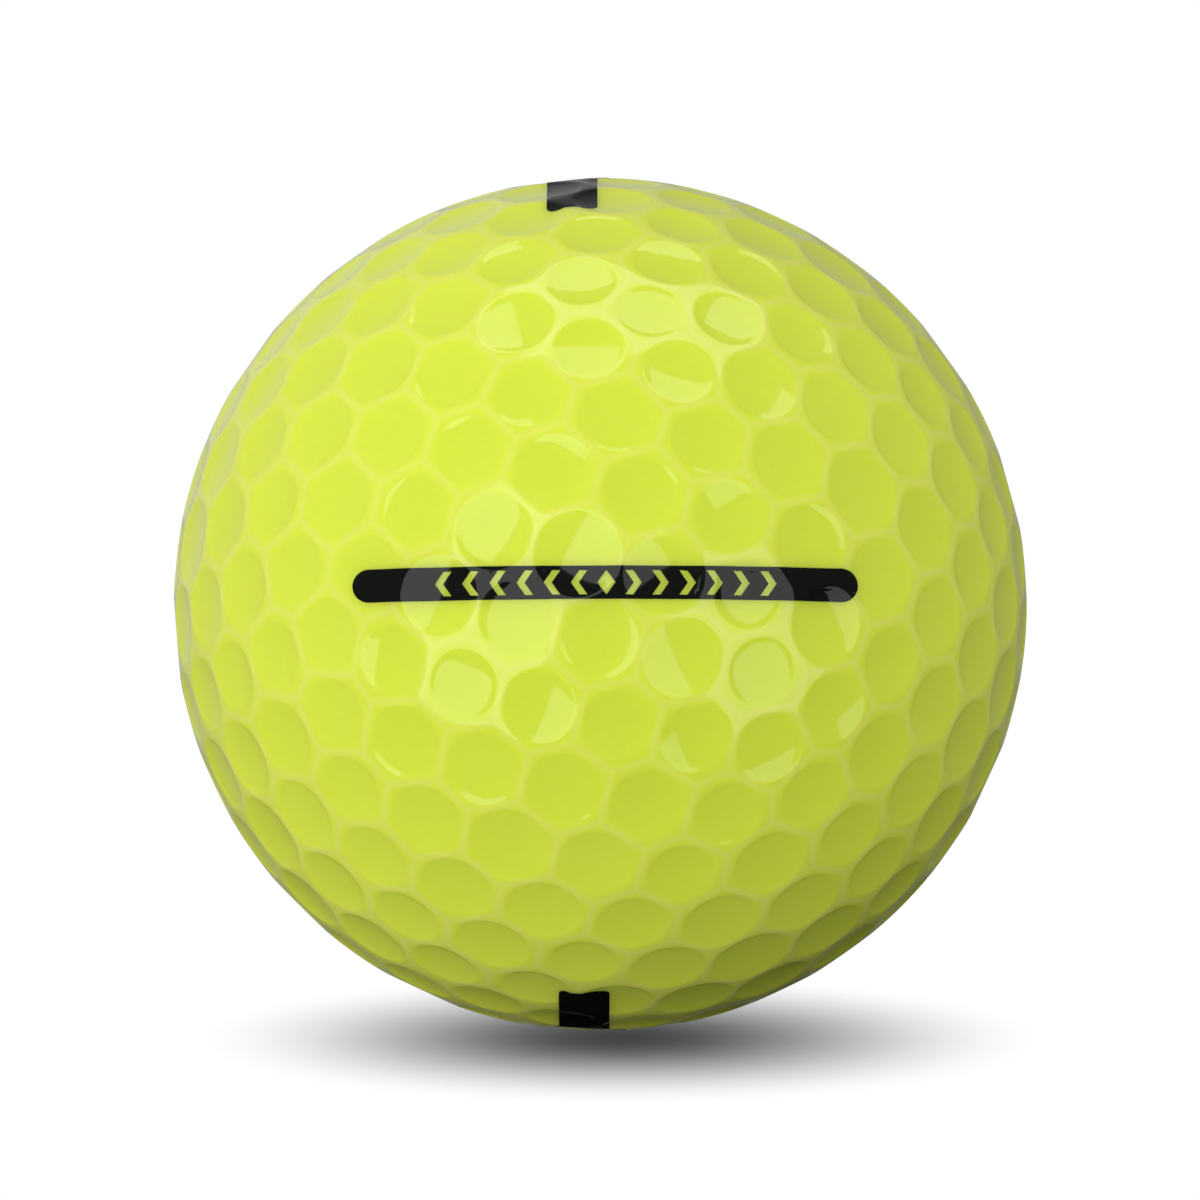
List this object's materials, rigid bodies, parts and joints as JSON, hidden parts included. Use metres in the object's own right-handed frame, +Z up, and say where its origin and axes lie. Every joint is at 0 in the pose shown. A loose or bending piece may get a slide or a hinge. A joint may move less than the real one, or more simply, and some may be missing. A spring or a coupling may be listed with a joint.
{
  "type": "golf ball",
  "caption": "Dimpled golf ball: solid rubber core, moulded bright yellow cover, printed alignment bar and pole marks.",
  "frame": {"origin": "the ball's centre", "axes": "+Z up as the ball rests, -Y towards the side that carries the alignment bar, +X to the right of that side"},
  "size_m": [0.0426, 0.0426, 0.0428],
  "materials": {
    "core_rubber": "moulded, dull",
    "cover_ionomer": "glossy clear coat",
    "black_ink": "pad-printed ink under clear coat"
  },
  "bodies": {
    "root": {"core": "core_rubber", "cover": "cover_ionomer", "alignment_bar": "black_ink", "pole_mark_top": "black_ink", "pole_mark_bottom": "black_ink"}
  },
  "joints": []
}
